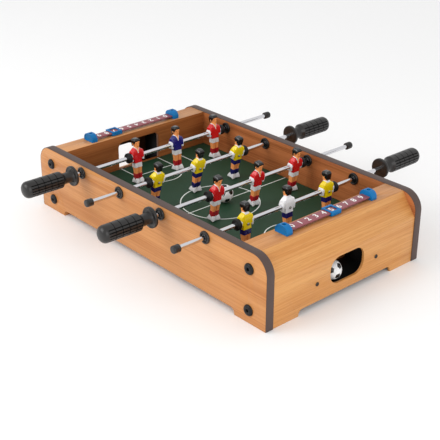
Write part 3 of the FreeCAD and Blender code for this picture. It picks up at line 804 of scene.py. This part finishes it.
def makeNumerals(end, size):
    low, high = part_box(end + "_score_strip")
    middle = (low + high) / 2
    facing = 1 if end == "right" else -1
    digits = []
    for value in range(10):
        bpy.ops.object.text_add()
        digit = bpy.context.object
        digit.data.body = str(value)
        digit.data.align_x = "CENTER"
        digit.data.align_y = "CENTER"
        digit.data.size = size["digitHeight"] / size["digitShare"]
        digit.data.offset = size["digitBold"]
        digit.data.extrude = size["digitLift"] / 2
        fromMiddle = facing * (value - size["middleDigit"]) * size["digitSpacing"]
        digit.location = (middle.x, middle.y + fromMiddle, high.z + size["digitLift"] / 2)
        digit.rotation_euler = (0, 0, facing * quarter)
        only(digit)
        bpy.ops.object.convert(target="MESH")
        digits.append(settled(bpy.context.object))
    numerals = painted(joined(end + "_score_numerals", digits), whitePrint)
    return fixed(numerals, "cabinet", "score_strip")


def makeBracket(size):
    # its inner end at the origin, reaching out along +Y, standing on the deck
    low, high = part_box("right_score_brackets")
    half, height, reach = (high.x - low.x) / 2, high.z - low.z, size["bracketLength"]
    bracket = block("score_bracket", (-half, 0, 0), (half, reach, height))
    edit(bracket)
    pick(bracket, "EDGE", lambda spot, edge: spot.z > height * 0.9 and edgeAlong(edge, 1))
    bpy.ops.mesh.bevel(offset=size["bracketRound"], segments=10)
    pick(bracket, "FACE", lambda spot, face: face.normal.y > 0.9)
    bpy.ops.mesh.inset(thickness=size["panelInset"], depth=0)
    bpy.ops.mesh.inset(thickness=size["panelWall"], depth=-size["panelDepth"])
    finishEdit()
    cut(bracket, drum("well", size["wellRadius"], height, (0, reach / 2, height), 32))
    rounded(bracket, size["edge"], 38)
    return painted(smooth(bracket, 38), bluePlastic)


model = makeBracket(counter)
for end in ("left", "right"):
    softened(end + "_score_strip", counter["stripEdge"], stripRose, "score_strip")
    makeNumerals(end, counter)
    softened(end + "_score_slider", counter["sliderEdge"], bluePlastic, "blue_plastic",
             end + "_score_slider")
    low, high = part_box(end + "_score_brackets")
    for side, y, turn in (("front", low.y + counter["bracketLength"], turnOver),
                          ("rear", high.y - counter["bracketLength"], None)):
        piece = copied(model, f"{end}_score_bracket_{side}", ((low.x + high.x) / 2, y, low.z), turn)
        fixed(piece, "cabinet", "blue_plastic", end + "_score_brackets")
bpy.data.objects.remove(model)
print("score counters done")

# playing figures, modelled once round the rod's axis, facing +X, sizes in millimetres

mm = 0.001
shirtParts = {
    "shirt": {"low": (-6.0, -9.8, -10.0), "high": (6.0, 9.8, 13.8), "finish": shirtRed, "edge": 0.7,
              "rings": ((-10.0, 0.82, 0.74, 0), (-5.0, 0.90, 0.84, 0), (0.0, 0.96, 0.94, 0),
                        (5.0, 1.0, 1.0, 0), (9.5, 0.88, 0.90, 0), (13.8, 0.52, 0.46, -0.3))},
    "collar": {"low": (-3.9, -3.9, 11.8), "high": (2.4, 3.9, 14.9), "finish": trimWhite, "edge": 0.5,
               "rings": ((11.8, 1.1, 1.1, 0), (14.9, 0.84, 0.84, 0))},
    "neckTrim": {"low": (3.6, -3.9, 6.0), "high": (6.2, 3.9, 14.4), "finish": trimWhite, "edge": 0.3,
                 "rings": ((6.0, 1.0, 0.12, 0.1), (10.0, 1.0, 0.58, -0.5), (14.4, 1.0, 1.0, -2.4))},
    "neckSkin": {"low": (3.7, -2.7, 7.6), "high": (6.6, 2.7, 14.8), "finish": skin, "edge": 0.3,
                 "rings": ((7.6, 1.0, 0.12, 0.1), (10.6, 1.0, 0.55, -0.6), (14.8, 1.0, 1.0, -2.5))}}
pairedParts = {  # as they are on the side towards +Y
    "sleeve": {"low": (-5.0, 6.4, -3.0), "high": (5.2, 11.3, 10.0), "finish": shirtRed, "edge": 0.8,
               "rings": ((-3.0, 0.92, 0.86, 0.2), (2.0, 1.04, 1.0, 0.2), (6.5, 0.98, 0.92, 0),
                         (10.0, 0.66, 0.60, -0.2))},
    "cuff": {"low": (-5.9, 8.6, -6.4), "high": (6.1, 11.9, 5.6), "finish": trimWhite, "edge": 0.7,
             "rings": ((-6.4, 0.64, 0.9, 0.1), (-3.2, 0.98, 1.0, 0), (2.6, 0.98, 1.0, 0),
                       (5.6, 0.66, 0.9, 0))},
    "shortsLeg": {"low": (-4.6, 0.3, -17.6), "high": (4.6, 6.7, -11.0), "finish": shortsWhite,
                  "edge": 0.7, "rings": ((-17.6, 1.04, 1.04, 0), (-11.0, 0.90, 0.96, 0))},
    "thigh": {"low": (-3.9, 0.35, -28.8), "high": (4.0, 6.2, -15.5), "finish": skin, "edge": 0.6,
              "rings": ((-28.8, 0.84, 0.88, 0), (-25.5, 0.94, 0.94, 0.2), (-15.5, 1.05, 1.04, 0))},
    "sock": {"low": (-4.1, 0.35, -37.0), "high": (3.9, 6.3, -27.2), "finish": sockRed, "edge": 0.5,
             "rings": ((-37.0, 0.82, 0.84, 0.1), (-31.0, 0.98, 0.96, -0.2), (-28.0, 1.02, 1.0, 0),
                       (-27.2, 0.96, 0.96, 0))},
    "boot": {"low": (-6.7, 0.1, -42.5), "high": (6.7, 7.6, -35.0), "finish": bootWhite, "soft": 0,
             "rings": ((-41.0, 1.0, 1.0, 0), (-38.4, 0.84, 0.90, 0), (-35.0, 0.58, 0.74, -0.3))},
    "ear": {"low": (-1.2, 4.6, 18.2), "high": (1.0, 6.0, 22.0), "finish": skin,
            "rings": ((18.2, 0.7, 0.8, 0.3),)},
    "eye": {"low": (5.0, 1.45, 20.6), "high": (5.9, 2.75, 21.5), "finish": eyeDark},
    "brow": {"low": (5.1, 1.2, 22.1), "high": (5.95, 3.2, 22.7), "finish": hairBlack, "soft": 1}}
headParts = {
    "shortsTop": {"low": (-4.6, -6.9, -14.0), "high": (4.6, 6.9, -8.8), "finish": shortsWhite,
                  "edge": 0.7, "rings": ((-14.0, 0.98, 0.98, 0), (-8.8, 0.90, 0.92, 0))},
    "neck": {"low": (-2.4, -2.7, 11.5), "high": (3.2, 2.7, 17.5), "finish": skin, "edge": 0.6,
             "rings": ((11.5, 1.15, 1.15, 0),)},
    "head": {"low": (-5.0, -5.0, 14.0), "high": (6.0, 5.0, 27.4), "finish": skin, "edge": 0.8,
             "rings": ((14.0, 0.58, 0.56, 1.5), (16.8, 0.84, 0.84, 0.6), (20.0, 1.0, 1.0, 0),
                       (23.6, 0.98, 1.0, 0), (27.4, 0.60, 0.62, -0.3))},
    "nose": {"low": (5.2, -0.8, 18.4), "high": (7.0, 0.8, 21.8), "finish": skin,
             "rings": ((18.4, 0.9, 1.1, 0.1), (21.8, 0.5, 0.55, -0.4))},
    "mouth": {"low": (5.0, -1.7, 16.5), "high": (5.8, 1.7, 17.2), "finish": lipTone},
    "hair": {"low": (-6.4, -5.9, 14.8), "high": (6.9, 5.9, 28.6), "finish": hairBlack, "edge": 0.8,
             "rings": ((14.8, 0.58, 0.74, -0.9), (18.5, 0.92, 0.96, -0.3), (23.0, 1.0, 1.0, 0),
                       (25.8, 0.94, 0.94, 0), (28.6, 0.62, 0.62, -0.2))}}
bootShape = {"sole": 3.0, "middle": 2.0, "flare": 1.5, "waist": 0.72, "edge": 0.45}
hairline = {"through": (5.0, 0, 22.9), "facing": (0.58, 0, -0.81), "edge": 0.35}


def lump(name, low, high, finish, rings=(), soft=2, edge=0.0):
    # a block cut by level planes; rings: (height, depth scale, width scale, forward shift)
    piece = block(name, [v * mm for v in low], [v * mm for v in high])
    middle = (Vector(low) + Vector(high)) / 2 * mm
    edit(piece)
    for height, deep, wide, forward in rings:
        z = height * mm
        if low[2] < height < high[2]:
            bpy.ops.mesh.select_all(action="SELECT")
            bpy.ops.mesh.bisect(plane_co=(0, 0, z), plane_no=(0, 0, 1))
        pick(piece, "VERT", lambda spot, corner: abs(spot.z - z) < mergeGap * 2)
        bpy.ops.transform.resize(value=(deep, wide, 1), center_override=(middle.x, middle.y, z))
        bpy.ops.transform.translate(value=(forward * mm, 0, 0))
    finishEdit()
    if edge:
        rounded(piece, edge * mm, 30)
    if soft:
        shaped(piece, "SUBSURF", levels=soft, render_levels=soft)
    only(piece)
    bpy.ops.object.shade_smooth()
    return painted(piece, finish)


def shapeBoot(boot, side, size):
    # toe and heel flare out to pointed outer corners, with a waist between them
    sole, middle = size["sole"] * mm, size["middle"] * mm
    edit(boot)
    bpy.ops.mesh.select_all(action="SELECT")
    bpy.ops.mesh.bisect(plane_co=(0, 0, 0), plane_no=(1, 0, 0))
    pick(boot, "VERT", lambda spot, corner: abs(spot.x) < 0.1 * mm and abs(spot.y) > sole)
    bpy.ops.transform.translate(value=(0, -size["flare"] * side * mm, 0))
    pick(boot, "VERT", lambda spot, corner: abs(spot.x) > sole and abs(spot.y) < middle)
    bpy.ops.transform.resize(value=(size["waist"], 1, 1), center_override=(0, 0, 0))
    finishEdit()
    rounded(boot, size["edge"] * mm, 25)
    smooth(boot, 40)


def trimHair(hair, size):
    # cut back from the face to a hairline
    edit(hair)
    bpy.ops.mesh.select_all(action="SELECT")
    bpy.ops.mesh.bisect(plane_co=[v * mm for v in size["through"]], plane_no=size["facing"],
                        clear_outer=True, use_fill=True)
    finishEdit()
    rounded(hair, size["edge"] * mm, 40)
    smooth(hair, 50)


def makeFigure():
    parts = [lump(name, **part) for name, part in shirtParts.items()]
    for side in (-1, 1):
        for name, part in pairedParts.items():
            (back, inner, bottom), (front, outer, top) = part["low"], part["high"]
            near, far = (inner, outer) if side > 0 else (-outer, -inner)
            piece = lump(name, **{**part, "low": (back, near, bottom), "high": (front, far, top)})
            if name == "boot":
                shapeBoot(piece, side, bootShape)
            parts.append(piece)
    parts += [lump(name, **part) for name, part in headParts.items()]
    trimHair(parts[-1], hairline)
    return joined("figure", parts)


figureModel = makeFigure()
kits = {"red": {"slot": "red_team"},
        "yellow": {"slot": "yellow_team", "shirtRed": shirtYellow, "shortsWhite": kitNavy,
                   "sockRed": kitNavy},
        "blueKeeper": {"slot": "blue_keeper", "shirtRed": shirtBlue},
        "whiteKeeper": {"slot": "white_keeper", "shirtRed": kitWhite, "shortsWhite": kitNavy,
                        "sockRed": kitNavy}}
teams = {1: "red", 2: "yellow", 3: "red", 4: "yellow"}
keepers = {1: "blueKeeper", 4: "whiteKeeper"}
spins = {1: -4.0, 2: 10.0, 3: 8.0, 4: -3.0}  # degrees at rest
screwModel = makeScrew("player_screw", playerScrew, zinc)
for number, rod in rods.items():
    team = teams[number]
    facing = 1 if team == "red" else -1
    spin = Matrix.Rotation(math.radians(spins[number]), 4, "Y")
    turn = spin if facing > 0 else spin @ turnOver
    screwSeat = Matrix.Translation((-facing * playerScrew["back"], 0, -playerScrew["drop"]))
    screwTurn = spin @ screwSeat @ (turnLeft if facing > 0 else turnRight)
    for place in ("front", "middle", "rear"):
        node = f"rod_{number}_{place}_player"
        low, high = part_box(node)
        spot = (rod["x"], (low.y + high.y) / 2, rod["z"])
        kit = kits[keepers.get(number, team) if place == "middle" else team]
        piece = copied(figureModel, node + "_painted", spot, turn)
        for index, finish in enumerate(piece.data.materials):
            piece.data.materials[index] = kit.get(finish.name, finish)
        fixed(piece, f"rod_{number}", kit["slot"], node)
        screw = copied(screwModel, node + "_screw", spot, screwTurn)
        fixed(screw, f"rod_{number}", "zinc", f"rod_{number}_player_screws")
bpy.data.objects.remove(figureModel)
bpy.data.objects.remove(screwModel)
print("figures done")

# floor, light and camera

view = {"azimuth": 48.34, "elevation": 25.99, "distance": 1.4799, "roll": 0.2,
        "target": (0.0094, -0.0239, 0.0223), "lens": 81.04, "sensor": 36.0}
studio = {"floor": "FCFCFC", "floorSize": 14.0, "floorDrop": 0.0002, "sky": "FFFFFF",
          "skyStrength": 0.86,
          "keyPlace": (-0.7, -1.6, 1.2), "keySize": 1.2, "keyPower": 15.0,
          "fillPlace": (1.8, -0.8, 0.9), "fillSize": 1.4, "fillPower": 9.5}

bpy.ops.object.select_all(action="DESELECT")
bpy.ops.mesh.primitive_plane_add(size=studio["floorSize"], location=(0, 0, -studio["floorDrop"]))
floor = settled(named("floor"))
painted(floor, plastic("floorPaint", studio["floor"], 0.6, 200.0, shift=0.01))

bpy.context.scene.view_settings.view_transform = "Standard"
world = bpy.data.worlds.new("studio")
bpy.context.scene.world = world
world.use_nodes = True
sky = world.node_tree.nodes["Background"].inputs
sky["Color"].default_value = linear(studio["sky"])
sky["Strength"].default_value = studio["skyStrength"]


def softLight(name, place, size, power):
    lamp = bpy.data.lights.new(name, "AREA")
    lamp.size = size
    lamp.energy = power
    lampObject = bpy.data.objects.new(name, lamp)
    bpy.context.scene.collection.objects.link(lampObject)
    lampObject.location = place
    lampObject.rotation_euler = (-Vector(place)).to_track_quat("-Z", "Y").to_euler()


softLight("key", studio["keyPlace"], studio["keySize"], studio["keyPower"])
softLight("fill", studio["fillPlace"], studio["fillSize"], studio["fillPower"])

azimuth, elevation = math.radians(view["azimuth"]), math.radians(view["elevation"])
back = Vector((math.sin(azimuth) * math.cos(elevation), -math.cos(azimuth) * math.cos(elevation),
               math.sin(elevation)))
right = Vector((0, 0, 1)).cross(back).normalized()
up = back.cross(right)
turn = Matrix((right, up, back)).transposed() @ Matrix.Rotation(math.radians(view["roll"]), 3, "Z")
cameraData = bpy.data.cameras.new("camera")
cameraData.lens = view["lens"]
cameraData.sensor_width = view["sensor"]
camera = bpy.data.objects.new("camera", cameraData)
bpy.context.scene.collection.objects.link(camera)
camera.matrix_world = (Matrix.Translation(Vector(view["target"]) + back * view["distance"])
                       @ turn.to_4x4())
bpy.context.scene.camera = camera

print("scene done")
